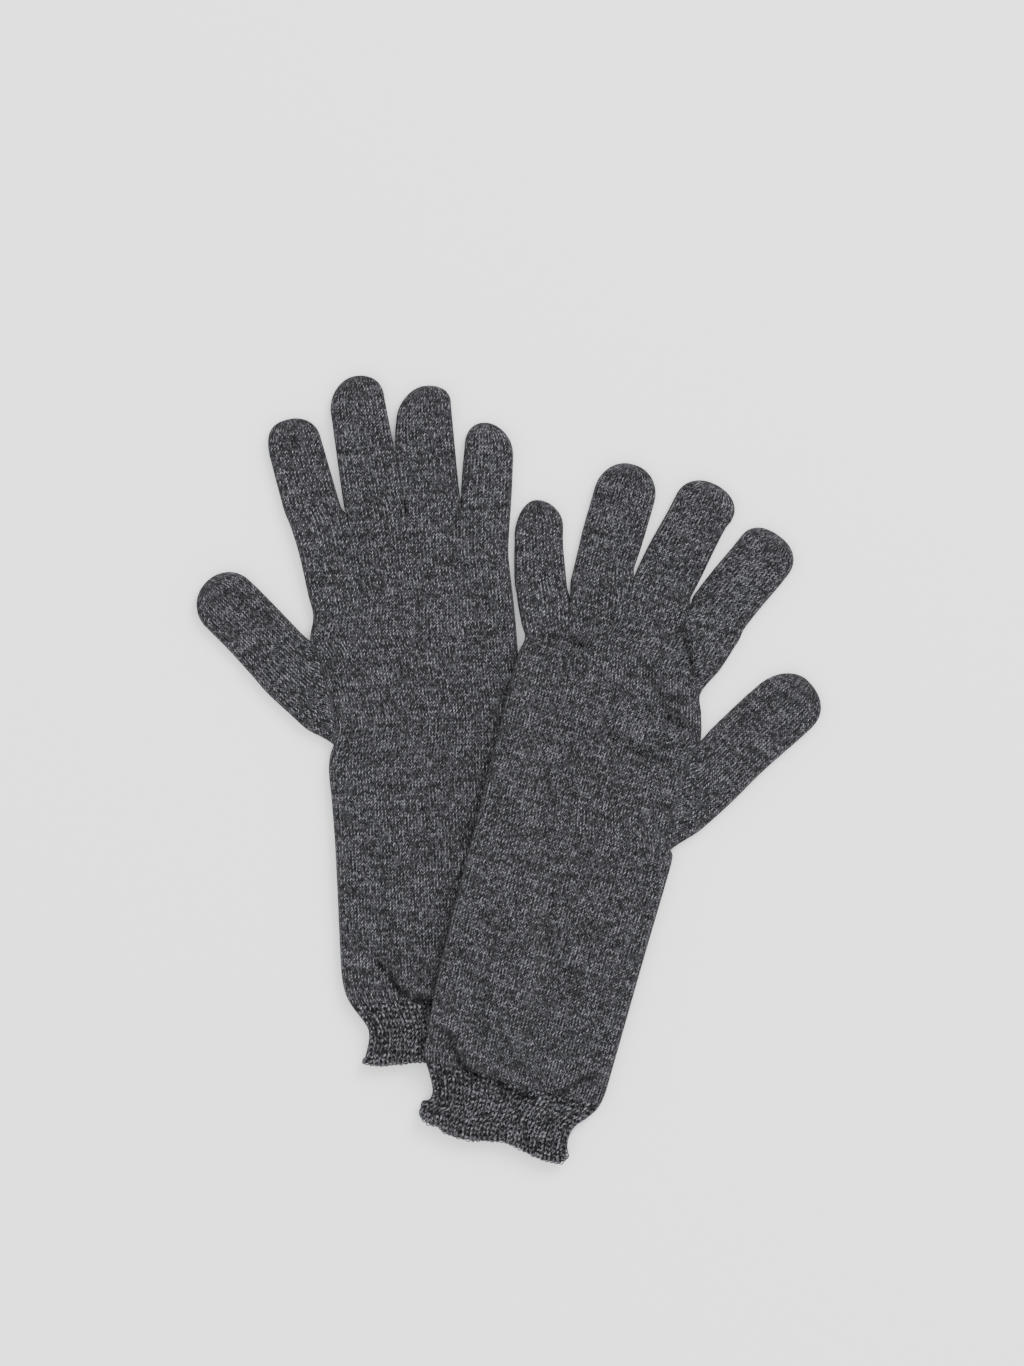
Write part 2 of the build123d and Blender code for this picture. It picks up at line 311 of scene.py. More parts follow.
def from_pair(glove, x, y):
    a = math.radians(glove["turn"])
    dx, dy = x - glove["centre"][0], y - glove["centre"][1]
    return dx * math.cos(a) + dy * math.sin(a), -dx * math.sin(a) + dy * math.cos(a)


def sides(glove, y):
    """The lowest and highest x of a glove's trunk at y."""
    thumb, little = along(glove["thumb_edge"], y), along(glove["little_edge"], y)
    return (-thumb, little) if glove["sign"] < 0 else (-little, thumb)


def soft_noise(x, y, seed, size, count=10):
    """A smooth field of about -1 to 1, made of plane waves of about that size."""
    r = np.random.default_rng(seed)
    total = np.zeros(np.broadcast(x, y).shape)
    for _ in range(count):
        angle, phase, length = r.uniform(0, math.tau), r.uniform(0, math.tau), size * r.uniform(0.6, 1.7)
        total += np.sin((x * math.cos(angle) + y * math.sin(angle)) * math.tau / length + phase)
    return total / math.sqrt(count)


def run_along(line):
    """How far along a line each of its points lies."""
    return np.concatenate([[0], np.cumsum(np.linalg.norm(np.diff(line, axis=0), axis=1))])


def crowded(count, width, pull):
    """Shares 0 to 1 across a width, evenly spaced but for the ones at both edges, which crowd to them."""
    crowd = 1.1  # how far in from an edge that reaches
    share = np.linspace(0, 1, count)
    edge = np.minimum(share, 1 - share) * width
    edge = edge * (1 - pull * np.exp(-((edge / crowd) ** 2)))
    return np.where(share < 0.5, edge / width, 1 - edge / width)


# -------------------- the trunk: hem, cuff, sleeve, hand

def root_line(glove):
    """The trunk's last row of points, and the columns that bound its fingers."""
    bounds = np.cumsum([0, *glove["columns"]])
    roots = np.array(glove["roots"], float)
    line = np.zeros((COLUMNS + 1, 2))
    for k, columns in enumerate(glove["columns"]):
        share = crowded(columns + 1, FINGER_WIDTH, 0.5)
        line[bounds[k]:bounds[k + 1] + 1] = roots[k] + (roots[k + 1] - roots[k]) * share[:, None]
    return line, bounds


def trunk_grid(glove):
    """Plan places of the trunk's rows and columns, and where its zones, fingers and thumb start."""
    wrist = WRIST[glove["side"]]
    levels = np.concatenate([
        np.linspace(HEM_LOOPS, HEM_TOP, STEPS["cuff_hem"] + 1),
        np.linspace(HEM_TOP, CUFF_TOP, STEPS["rib_cuff"] + 1)[1:],
        np.linspace(CUFF_TOP, wrist, STEPS["sleeve"] + 1)[1:],
    ])
    shares = np.linspace(0, 1, STEPS["hand"] + 1)[1:]
    root, bounds = root_line(glove)
    level_rows = np.repeat(levels[:, None], COLUMNS + 1, axis=1)
    y = np.concatenate([level_rows, wrist + (root[:, 1] - wrist) * shares[:, None]])
    starts = np.cumsum([0, *STEPS.values()]).tolist()
    zones = dict(zip(STEPS, zip(starts, starts[1:])))
    # the side draws in a little where the thumb joins
    side = 0 if glove["sign"] < 0 else COLUMNS
    y0, y1 = glove["thumb_rows"]
    inset = THUMB_INSET * smooth((y[:, side] - y0) / 9) * smooth((y1 - y[:, side]) / 9)
    low, high = sides(glove, y[:, 0])[0], sides(glove, y[:, COLUMNS])[1]
    low, high = (low + inset, high) if glove["sign"] < 0 else (low, high - inset)
    # the columns, evenly spaced in the sleeve, run on to their fingers in the hand
    fan = np.zeros(len(y))
    fan[zones["hand"][0] + 1:] = smooth((shares - FAN_START) / (1 - FAN_START))
    even = crowded(COLUMNS + 1, TRUNK_WIDTH, 0.62)
    root_share = (root[:, 0] - root[0, 0]) / (root[-1, 0] - root[0, 0])
    x = low[:, None] + (high - low)[:, None] * (even + (root_share - even) * fan[:, None])
    y = y + along(glove["hem_line"], x) * smooth(1 - y / HEM_REACH)
    return {
        "x": x, "y": y, "zones": zones, "bounds": bounds, "side": side,
        "distance": np.minimum(x - x[:, :1], x[:, -1:] - x),
        "thumb": [int(np.abs(y[:, side] - end).argmin()) for end in (y0, y1)],
    }


def heights(glove, grid):
    """The height shares of the trunk's roundness, 0 at a closed edge and 1 inside."""
    x, y = grid["x"], grid["y"]
    share = rounded(grid["distance"], TRUNK_ROUND)
    root = share[-1].copy()
    for name, a, b in zip(glove["order"], grid["bounds"], grid["bounds"][1:]):
        px, py = x[-1, a:b + 1], y[-1, a:b + 1]
        press = glove["pressed"].get(name, 0)
        low_end = rounded(np.hypot(px - px[0], py - py[0]), PRESSED_ROUND if press < 0 else ROOT_ROUND)
        high_end = rounded(np.hypot(px - px[-1], py - py[-1]), PRESSED_ROUND if press > 0 else ROOT_ROUND)
        root[a:b + 1] = np.minimum(low_end, high_end)
    last, first = len(y) - 1, grid["zones"]["hand"][0]
    length = np.abs(y[-1] - y[first])
    left = length * (last - np.arange(len(y)))[:, None] / (last - first)
    near_root = smooth(1 - left / ROOT_REACH)
    share = share * (1 - near_root) + root * near_root
    # the layers stay apart where the thumb joins, and only on that side
    side_y = y[:, grid["side"]]
    start, end = grid["thumb"]
    within = np.minimum(side_y - side_y[start], side_y[end] - side_y)
    from_low, from_high = x - x[:, :1], x[:, -1:] - x
    thumb_half = from_low < from_high if glove["sign"] < 0 else from_high < from_low
    opening = rounded(np.maximum(within, 0), THUMB_ROUND)[:, None] * thumb_half
    return 1 - (1 - share) * (1 - opening)


def crease_field(glove, x, y):
    """How far creases push the top layer down at points of a glove's frame."""
    px, py = to_pair(glove, x, y)
    total = np.zeros(x.shape)
    for crease in glove["creases"]:
        best, side, at = np.full(x.shape, 1e9), np.zeros(x.shape), np.zeros(x.shape)
        p = np.array(crease.line, float)
        lengths = np.hypot(*(p[1:] - p[:-1]).T)
        whole, done = lengths.sum(), 0.0
        for (ax, ay), (bx, by), run in zip(p[:-1], p[1:], lengths):
            s = np.clip(((px - ax) * (bx - ax) + (py - ay) * (by - ay)) / run ** 2, 0, 1)
            d = np.hypot(px - ax - s * (bx - ax), py - ay - s * (by - ay))
            nearer = d < best
            turn = ((bx - ax) * (py - ay) - (by - ay) * (px - ax)) / run
            side = np.where(nearer, turn, side)
            at = np.where(nearer, (done + s * run) / whole, at)
            best = np.minimum(best, d)
            done += run
        # a crease fades out to its ends and wavers along its length
        strength = np.clip(np.minimum(at, 1 - at) / 0.18, 0.12, 1)
        wobble = 1 + 0.22 * np.sin(at * whole / 2.7) + 0.15 * np.sin(at * whole / 1.3 + 1)
        total += strength * wobble * crease.depth * np.exp(-((best / crease.width) ** 2))
        above = np.where(side > 0, best, 99.0)
        ridge = (above - 2.2 * crease.width) / (1.7 * crease.width)
        total -= strength * crease.swell * np.exp(-(ridge ** 2))
    return total


# -------------------- cloth simulation

SIM_SCALE = 20.0  # the cloth is simulated larger than life, which the solver handles better
CLOTH_GAP = 0.6  # the gap that the solver keeps under the cloth


def add_object(name, data):
    obj = bpy.data.objects.new(name, data)
    bpy.context.scene.collection.objects.link(obj)
    return obj


def grid_faces(shape, start=0):
    """The faces of a grid of points, of which the first has the number start."""
    index = start + np.arange(shape[0] * shape[1]).reshape(shape[:2])
    return np.stack([index[:-1, :-1], index[:-1, 1:], index[1:, 1:], index[1:, :-1]], -1).reshape(-1, 4)


def grid_mesh(name, points):
    mesh = bpy.data.meshes.new(name)
    mesh.from_pydata(points.reshape(-1, 3).tolist(), [], grid_faces(points.shape).tolist())
    return add_object(name, mesh)


def collider(name, points, scale):
    obj = grid_mesh(name, points * scale)
    obj.modifiers.new("Collision", "COLLISION")
    obj.collision.thickness_outer = CLOTH_GAP * scale
    obj.collision.thickness_inner = 0.08
    obj.collision.cloth_friction = 12
    return obj


def settle(points, pinned, surfaces, growth, frames, weight):
    """Lets a grid of cloth, in millimetres, settle on surfaces, and returns where it comes to rest.
    The cloth grows by the share growth, and weight is its share of real gravity."""
    scale = SIM_SCALE * MM
    cloth = grid_mesh("cloth_to_settle", points * scale)
    group = cloth.vertex_groups.new(name="pinned")
    group.add(np.flatnonzero(pinned.ravel()).tolist(), 1.0, "REPLACE")
    below = [collider(f"under_cloth_{k}", surface, scale) for k, surface in enumerate(surfaces)]
    modifier = cloth.modifiers.new("Cloth", "CLOTH")
    settings = modifier.settings
    settings.quality = 9
    settings.mass = 0.25
    settings.tension_stiffness = 22
    settings.compression_stiffness = 22
    settings.shear_stiffness = 8
    settings.bending_stiffness = 0.9
    settings.air_damping = 2.0
    settings.shrink_min = -growth
    settings.vertex_group_mass = "pinned"
    settings.effector_weights.gravity = weight
    modifier.collision_settings.collision_quality = 3
    modifier.collision_settings.distance_min = CLOTH_GAP * scale
    modifier.point_cache.frame_start = 1
    modifier.point_cache.frame_end = frames
    for frame_number in range(1, frames + 1):
        bpy.context.scene.frame_set(frame_number)
    held = cloth.evaluated_get(bpy.context.evaluated_depsgraph_get()).to_mesh()
    out = np.zeros(len(held.vertices) * 3, np.float32)
    held.vertices.foreach_get("co", out)
    bpy.context.scene.frame_set(1)
    for obj in (cloth, *below):
        bpy.data.objects.remove(obj)
    return out.reshape(points.shape).astype(float) / scale


def coarse_places(shape):
    """The rows and columns that are simulated, of a grid of that shape."""
    rows, columns = shape
    return np.unique(np.append(np.arange(0, rows, COARSE), rows - 1)), np.arange(0, columns, COARSE)


def refine(coarse, shape):
    """Spreads a field on the simulated rows and columns over all of them, and smooths the steps out."""
    row_at, column_at = coarse_places(shape)
    rows, columns = np.arange(shape[0]), np.arange(shape[1])
    across = np.stack([np.interp(columns, column_at, line) for line in coarse])
    field = np.stack([np.interp(rows, row_at, across[:, k]) for k in columns], 1)
    for _ in range(6):
        padded = np.pad(field, 1, mode="edge")
        field = (padded[:-2, 1:-1] + padded[2:, 1:-1] + padded[1:-1, :-2] + padded[1:-1, 2:]) / 8 + field / 2
    return field


def pair_points(glove, x, y, z):
    px, py = to_pair(glove, x, y)
    return np.stack([px, py, z], -1)


def level_surface(height):
    """A level grid under the whole pair, at a height."""
    a = np.linspace(-260, 260, 9)
    gx, gy = np.meshgrid(a, a)
    return np.stack([gx, gy, np.full(gx.shape, height)], -1)


def drape(glove, grid, other_top):
    """How high the right glove lies above the table, from letting its cloth settle over the left one."""
    other = GLOVES["left"]
    sampled = np.ix_(*coarse_places(grid["x"].shape))
    x, y = grid["x"][sampled], grid["y"][sampled]
    other_x, other_y = from_pair(other, *to_pair(glove, x, y))
    other_edge = sides(other, np.clip(other_y, 0, 205))[1]
    over = smooth(1 + (other_edge - other_x) / 9) * smooth(1 + other_y / 9)
    # the cloth starts clear of the left glove, and down on the table at the finger roots
    start = (THICK + 1.6) * over * smooth((238 - y) / 22)
    pinned = np.zeros(x.shape, bool)
    pinned[-4:, :] = True
    points = pair_points(glove, x, y, start + 0.4)
    surfaces = [level_surface(-0.4), other_top]
    rest = settle(points, pinned, surfaces, growth=0.012, frames=45, weight=1.0)
    base = refine(np.maximum(rest[..., 2] - CLOTH_GAP, 0.0), grid["x"].shape)
    from_root = len(base) - 1 - np.arange(len(base))
    return base * smooth(from_root[:, None] / 9.0)


def pucker(glove, grid, outline):
    """How far the top layer rises and sinks: its cloth is pinned round its outline and is a little longer
    than the tube is wide, so that it puckers, and the creases are pressed into it."""
    sampled = np.ix_(*coarse_places(outline.shape))
    dome = outline[sampled]
    pinned = np.zeros(dome.shape, bool)
    pinned[:, 0] = pinned[:, -1] = True
    pinned[0, :] = pinned[-1, :] = True
    flat = pair_points(glove, grid["x"][sampled], grid["y"][sampled], dome)
    puckered = settle(flat, pinned, [level_surface(THICK - 2.2)], growth=0.022, frames=40, weight=0.6)
    rise = refine(puckered[..., 2] - dome, outline.shape)
    rise = np.clip(rise - np.median(rise), -1.8, 1.8)
    rise = rise + 0.22 * soft_noise(grid["x"], grid["y"], NOISE_SEED[glove["side"]], 26.0)
    return rise - crease_field(glove, grid["x"], grid["y"])


def trunk_layers(glove, grid, share, base, rise):
    """The trunk's top and bottom layers in the pair's frame."""
    x, y, distance = grid["x"], grid["y"], grid["distance"]
    cuff = smooth((CUFF_TOP + 8 - y) / 16)
    thick = THICK * (1 - cuff) + CUFF_THICK * cuff
    top = layer_top(thick, share) + rise * np.minimum(share, rounded(distance, PUCKER_ROUND))
    under = layer_under(thick, share)
    # one-by-one rib in the cuff, fading into the sleeve and the hem
    rib = smooth((y - 1.5) / 3.5) * smooth((CUFF_TOP + 1.5 - y) / 5.0)
    phase = np.linspace(0, RIBS, COLUMNS + 1)
    top = top + RIB_RELIEF * np.cos(math.tau * (phase - 0.5)) * rib * rounded(distance, 4.0)
    # the frill of the hem
    frill = smooth(1 - y / 9)
    flute = glove["hem_wave"] * frill * np.sin(phase * math.tau / 3.1 + 0.8) * share
    top = top + flute * 0.9 + 0.35 * glove["hem_wave"] * frill
    return pair_points(glove, x, y, top + base), pair_points(glove, x, y, under + base)


# -------------------- fingers

def finger_place(glove, name):
    """Where a finger starts and which way it points."""
    if name == "thumb":
        ends = glove["thumb_fold"]
    else:
        k = glove["order"].index(name)
        ends = glove["fold_lines"].get(name, [glove["roots"][k], glove["roots"][k + 1]])
    start, end = np.array(ends, float)
    middle = start + (end - start) * glove["middles"].get(name, 0.5)
    angle = math.radians(90 - glove["sign"] * glove["fingers"][name].lean)
    axis = np.array([math.cos(angle), math.sin(angle)])
    across = np.array([math.sin(angle), -math.cos(angle)])
    if (end - start) @ across < 0:
        across = -across
    return Place(middle, axis, across, start, end)


def half_width(side, length, v):
    """How wide one side of a finger is at v along it, with its tip rounded over."""
    body = along(side.points, np.clip(v, side.points[0][0], side.points[-1][0]))
    t = np.clip((v - (length - side.tip_round)) / side.tip_round, 0, 0.9995)
    return body * (1 - t ** side.tip_power) ** (1 / side.tip_power)


def finger_layers(glove, name, root_top, root_under, seed):
    """The two layers of a finger, from the trunk's root points out to its tip, and how far along the
    finger their points and the root points lie."""
    finger, place = glove["fingers"][name], finger_place(glove, name)
    length, first, last = finger.length, finger.first, finger.last
    root = np.stack(from_pair(glove, root_top[:, 0], root_top[:, 1]), -1) - place.middle
    root_v, root_w = root @ place.axis, root @ place.across
    straight = np.arange(0, length - TIP_RUN, FINGER_STEP)
    turn = np.radians(np.linspace(0, 86, 17))
    steps = np.concatenate([straight, length - TIP_RUN + TIP_RUN * np.sin(turn)])
    v = root_v + (steps[-1] - root_v) * (steps / steps[-1])[:, None]
    # q runs from -1 at the first side to 1 at the last
    q = 2 * crowded(len(root_top), FINGER_WIDTH, 0.55) - 1
    half = np.where(q < 0, half_width(first, length, v), half_width(last, length, v))
    tip = np.clip((v - (length - TIP_RUN)) / TIP_RUN, 0, 1)
    target = half * q + finger.tip_shift * tip ** 2
    settled = smooth((v - root_v) / (first.reach + (last.reach - first.reach) * (q + 1) / 2))
    w = root_w * (1 - settled) + target * settled
    plan = place.middle + v[..., None] * place.axis + w[..., None] * place.across
    # the root's half of a side that is pressed against its neighbour is flattened into a wall
    pressed = smooth((PRESSED_LENGTH - v) / 8.0) * (q * glove["pressed"].get(name, 0) > 0)
    radius = FINGER_ROUND + (PRESSED_ROUND - FINGER_ROUND) * pressed
    share = rounded(half * (1 - np.abs(q)), radius)
    share = np.maximum(share, PRESSED_EDGE * pressed)
    # the tip tapers, the cloth wrinkles, and it dips where the finger would bend
    taper = np.sqrt(np.clip(1 - np.clip((v - (length - 6.0)) / 6.0, 0, 1) ** 2, 0, 1))
    thick = THICK * (0.97 + 0.05 * np.sin(v / 13.0 + seed)) * (0.25 + 0.75 * taper)
    wrinkle = 0.30 * soft_noise(v * 1.6, w * 0.6, 91 + seed, 15.0) * share * taper
    knuckle = np.exp(-(((v - length * 0.47 + 0.12 * w) / 2.8) ** 2))
    wrinkle = wrinkle - 0.35 * knuckle * share * (0.5 + 0.5 * np.sin(seed + w / 5))
    # near its root the finger takes the heights of the trunk, and it comes down to the table
    rest = root_under[:, 2].min()
    fade = smooth((v - root_v) / (7.0 - 4.0 * pressed))
    top = (layer_top(thick, share) + wrinkle) * fade + (root_top[:, 2] - rest) * (1 - fade)
    under = layer_under(thick, share) * fade + (root_under[:, 2] - rest) * (1 - fade)
    lift = rest * (1 - smooth((v - root_v) / DRAPE_RUN))
    top[-1] = under[-1] = (top[-1] + under[-1]) / 2
    upper = pair_points(glove, plan[..., 0], plan[..., 1], top + lift)
    lower = pair_points(glove, plan[..., 0], plan[..., 1], under + lift)
    upper[0], lower[0] = root_top, root_under
    # the layers meet along both sides, near the top of a pressed one
    lower[1:, [0, -1], 2] = upper[1:, [0, -1], 2]
    return upper, lower, v, root_v


# -------------------- pieces

def uv_grid(wale, course):
    """Stitch numbers across and along, for every point of a grid."""
    return np.stack(np.broadcast_arrays(wale, course), -1)


def piece(name, grids, cloth):
    """One object of cloth from grids of (points in the pair's frame in mm, uv, whether the faces are
    turned over)."""
    verts, faces, uvs = [], [], []
    count = 0
    for points, uv, flip in grids:
        quads = grid_faces(points.shape, count)
        verts.append(points.reshape(-1, 3))
        faces.append(quads[:, ::-1] if flip else quads)
        uvs.append(uv.reshape(-1, 2))
        count += len(verts[-1])
    verts, faces, uvs = np.concatenate(verts) * MM, np.concatenate(faces), np.concatenate(uvs)
    # points within about 2 micrometres are one point, and a face needs three of them
    keys = np.round(verts / 2e-6).astype(np.int64)
    _, first, same = np.unique(keys, axis=0, return_index=True, return_inverse=True)
    merged = same.ravel()[faces]
    good = np.array([len(set(q)) >= 3 for q in merged.tolist()])
    polygons, loop_uv = [], []
    for q, f in zip(merged[good].tolist(), faces[good].tolist()):
        kept = [k for k in range(4) if q[k] != q[k - 1]]
        polygons.append([q[k] for k in kept])
        loop_uv += [uvs[f[k]] for k in kept]
    mesh = bpy.data.meshes.new(name)
    mesh.from_pydata(verts[first].tolist(), [], polygons)
    layer = mesh.uv_layers.new(name="UVMap")
    layer.data.foreach_set("uv", np.array(loop_uv, np.float32).ravel())
    mesh.polygons.foreach_set("use_smooth", [True] * len(mesh.polygons))
    mesh.update()
    obj = add_object(name, mesh)
    if cloth:
        thicken(obj, cloth)
    return obj


def thicken(obj, cloth):
    """Gives a surface the cloth's thickness, inwards, and applies it."""
    modifier = obj.modifiers.new("Thickness", "SOLIDIFY")
    modifier.thickness = cloth * MM
    modifier.offset = -1
    modifier.use_rim = True
    modifier.use_quality_normals = True
    made = bpy.data.meshes.new_from_object(obj.evaluated_get(bpy.context.evaluated_depsgraph_get()))
    obj.modifiers.clear()
    surface = len(obj.data.polygons)
    obj.data = made
    # the cut rim keeps its own shading, so that neighbouring pieces' shading runs on across it
    rim = {key for p in made.polygons[2 * surface:] for key in p.edge_keys}
    sharp = made.attributes.new("sharp_edge", "BOOLEAN", "EDGE")
    sharp.data.foreach_set("value", [e.key in rim for e in made.edges])


def unit(vectors):
    return vectors / np.linalg.norm(vectors, axis=1)[:, None]


def tube(path, radius):
    """A round thread along a closed path."""
    ahead = unit(np.roll(path, -1, 0) - np.roll(path, 1, 0))
    side = unit(np.cross(ahead, [0.0, 0.0, 1.0]) + [1e-6, 0, 0])
    up = np.cross(side, ahead)
    angles = np.linspace(0, math.tau, 7)[:, None]
    grid = path[:, None] + radius * (np.cos(angles) * side[:, None] + np.sin(angles) * up[:, None])
    grid[:, -1] = grid[:, 0]
    grid = np.concatenate([grid, grid[:1]])
    return grid, uv_grid(np.linspace(0, 1, 7), 0.35 * np.arange(len(grid))[:, None]), False


def overlock(edge, outward, seed):
    """A thread wound round an edge: one tube that coils along a closed line of points."""
    closed, closed_out = np.vstack([edge, edge[:1]]), np.vstack([outward, outward[:1]])
    run = run_along(closed)
    turns = int(round(run[-1] / LOOP_PITCH))
    steps = turns * LOOP_STEPS
    at = np.linspace(0, run[-1], steps, endpoint=False)
    centre = np.stack([np.interp(at, run, closed[:, k]) for k in range(3)], 1)
    out = np.stack([np.interp(at, run, closed_out[:, k]) for k in range(3)], 1)
    ahead = unit(np.roll(centre, -1, 0) - np.roll(centre, 1, 0))
    out = unit(out - (out * ahead).sum(1)[:, None] * ahead)
    up = np.cross(ahead, out)
    r = np.random.default_rng(seed)
    uneven = np.interp(np.arange(steps) / LOOP_STEPS, np.arange(turns + 1), r.uniform(-1, 1, turns + 1))
    size = 1 + 0.25 * uneven
    phase = np.linspace(0, turns * math.tau, steps, endpoint=False)
    path = centre + (np.cos(phase) * LOOP_OUT * size)[:, None] * out
    path = path + (np.sin(phase) * LOOP_UP * size)[:, None] * up
    path = path + (0.32 * LOOP_PITCH * np.sin(phase))[:, None] * ahead
    return tube(path, THREAD_RADIUS)


# -------------------- materials

def node(tree, kind, **values):
    n = tree.nodes.new(kind)
    for key, value in values.items():
        setattr(n, key, value)
    return n


def set_inputs(n, **values):
    for key, value in values.items():
        n.inputs[key.replace("_", " ")].default_value = value


class Maths:
    """Short ways to write sums in a shader tree."""

    def __init__(self, tree):
        self.tree = tree

    def fill(self, n, inputs):
        for socket, value in zip(n.inputs, inputs):
            if isinstance(value, (int, float)):
                socket.default_value = value
            else:
                self.tree.links.new(value, socket)
        return n.outputs[0]

    def do(self, operation, *inputs):
        return self.fill(node(self.tree, "ShaderNodeMath", operation=operation), inputs)

    def plus(self, a, b):
        return self.do("ADD", a, b)

    def minus(self, a, b):
        return self.do("SUBTRACT", a, b)

    def times(self, a, b):
        return self.do("MULTIPLY", a, b)

    def floor(self, a):
        return self.do("FLOOR", a)

    def wave(self, a):
        """A half wave over each whole number."""
        return self.do("SINE", self.times(self.do("FRACT", a), math.pi))

    def from_middle(self, a):
        """How far a number's fraction is from a half."""
        return self.do("ABSOLUTE", self.minus(self.do("FRACT", a), 0.5))

    def vector(self, x, y, z=0.0):
        return self.fill(node(self.tree, "ShaderNodeCombineXYZ"), (x, y, z))

    def white(self, vector):
        n = node(self.tree, "ShaderNodeTexWhiteNoise", noise_dimensions="3D")
        self.tree.links.new(vector, n.inputs["Vector"])
        return n.outputs["Value"]

    def noise(self, vector, scale, detail=2.0, roughness=0.5):
        n = node(self.tree, "ShaderNodeTexNoise", noise_dimensions="3D")
        self.tree.links.new(vector, n.inputs["Vector"])
        set_inputs(n, Scale=scale, Detail=detail, Roughness=roughness)
        return n.outputs["Fac"]


def new_material(name, **values):
    """A material, its tree, its shader with those values set, and its two uv numbers."""
    material = bpy.data.materials.new(name)
    material.use_nodes = True
    tree = material.node_tree
    shader = tree.nodes["Principled BSDF"]
    set_inputs(shader, **values)
    split = node(tree, "ShaderNodeSeparateXYZ")
    tree.links.new(node(tree, "ShaderNodeUVMap", uv_map="UVMap").outputs[0], split.inputs[0])
    return material, tree, shader, split.outputs[0], split.outputs[1]


def add_bump(tree, shader, height, strength, distance):
    bump = node(tree, "ShaderNodeBump")
    set_inputs(bump, Strength=strength, Distance=distance * MM)
    tree.links.new(height, bump.inputs["Height"])
    tree.links.new(bump.outputs[0], shader.inputs["Normal"])


def plain_height(m, across, slanted):
    """Relief of plain knitting: every stitch is two slanted legs."""
    leg = m.do("POWER", m.do("SINE", m.times(across, math.pi)), 0.6)
    return m.times(leg, m.plus(m.times(m.wave(slanted), 0.86), 0.14))


def rib_height(m, ribs, course, seed):
    """Relief of a rib: a ladder of two upright strands, with rungs across the hole between them."""
    sway = m.noise(m.vector(m.times(ribs, 0.9), m.times(course, 0.5), seed + 5.0), 1.0)
    ribs = m.plus(ribs, m.times(m.minus(sway, 0.5), 0.55))
    own = m.white(m.vector(m.floor(ribs), seed))
    beat = m.wave(m.plus(m.times(course, 0.62), m.times(own, 5.0)))
    from_middle = m.from_middle(ribs)
    off = m.do("DIVIDE", m.minus(from_middle, 0.29), 0.15)
    upright = m.do("POWER", math.e, m.times(m.times(off, off), -1.0))
    upright = m.times(upright, m.plus(m.times(beat, 0.55), 0.45))
    near = m.do("MAXIMUM", m.minus(1.0, m.times(from_middle, 3.2)), 0.0)
    return m.do("MAXIMUM", upright, m.times(m.do("POWER", beat, 2.5), near))


def yarn_tone(m, wale, slanted, seed):
    """The marl yarn's shade, from 0 dark to 1 light, and its fibres."""
    row = m.floor(slanted)
    # each leg of each stitch has a shade of its own
    stitch = m.white(m.vector(m.floor(wale), row, seed))
    half_row = m.floor(m.times(slanted, 2.6))
    half = m.white(m.vector(m.floor(m.times(wale, 2.0)), half_row, seed + 7.0))
    tone = m.plus(m.times(stitch, 0.08), m.times(half, 0.77))
    fibre = m.noise(m.vector(m.times(wale, 5.0), m.times(slanted, 4.0), seed), 1.0, 3.0, 0.75)
    tone = m.plus(tone, m.times(m.minus(fibre, 0.5), 1.4))
    # whole courses run lighter or darker
    streak = m.noise(m.vector(m.times(wale, 0.08), m.times(row, 0.68), seed + 3.0), 1.0, 2.0, 0.6)
    tone = m.plus(tone, m.times(m.minus(streak, 0.5), 0.58))
    return m.plus(tone, 0.065), fibre


def knit_material(name, dark, middle, light, depth, ribbed, seed):
    """Plain or ribbed knitting drawn from the wale and course numbers in the uv map, with yarn from dark to
    light, painted shade in its hollows, a painted highlight on one leg of each stitch, and a relief of that
    depth in millimetres."""
    material, tree, shader, ribs, course = new_material(
        name, Roughness=0.92, Specular_IOR_Level=0.06, Sheen_Weight=0.03, Sheen_Roughness=0.6)
    m = Maths(tree)
    # stitches wander a little from their rows and columns
    drift = m.noise(m.vector(m.times(ribs, 0.35), m.times(course, 0.35), seed), 1.0)
    wander = m.times(m.minus(drift, 0.5), 1.1)
    wale = m.plus(m.times(ribs, 2.0 if ribbed else 1.0), m.times(wander, 0.6))
    course = m.plus(course, wander)
    across = m.times(m.from_middle(wale), 2.0)
    slanted = m.minus(course, m.times(across, 0.8))
    height = rib_height(m, ribs, course, seed) if ribbed else plain_height(m, across, slanted)
    tone, fibre = yarn_tone(m, wale, slanted, seed)
    ramp = node(tree, "ShaderNodeValToRGB")
    ramp.color_ramp.elements[0].color = (*dark, 1)
    ramp.color_ramp.elements[1].color = (*light, 1)
    ramp.color_ramp.elements.new(0.5).color = (*middle, 1)
    tree.links.new(tone, ramp.inputs[0])
    # one leg of every stitch is painted lighter than the other: a painted highlight of light that falls from
    # one side
    lit = m.do("GREATER_THAN", m.do("FRACT", wale), 0.5)
    # the yarn's colour is darkened with the relief, painted shade in the gaps between legs and in a rib's
    # holes
    shade = m.times(m.plus(m.times(height, 1.2), 0.10), m.plus(m.times(lit, 0.56), 0.72))
    grey = node(tree, "ShaderNodeCombineColor")
    m.fill(grey, (shade, shade, shade))
    # the painted light and shade multiply the yarn's colour
    painted_shading_mix = node(tree, "ShaderNodeMix", data_type="RGBA", blend_type="MULTIPLY")
    # a colour mix has its share in socket 0, its colours in 6 and 7, and its result in output 2
    painted_shading_mix.inputs[0].default_value = 1.0
    tree.links.new(ramp.outputs[0], painted_shading_mix.inputs[6])
    tree.links.new(grey.outputs[0], painted_shading_mix.inputs[7])
    tree.links.new(painted_shading_mix.outputs[2], shader.inputs["Base Color"])
    add_bump(tree, shader, m.plus(height, m.times(fibre, 0.5)), 0.8, depth)
    return material


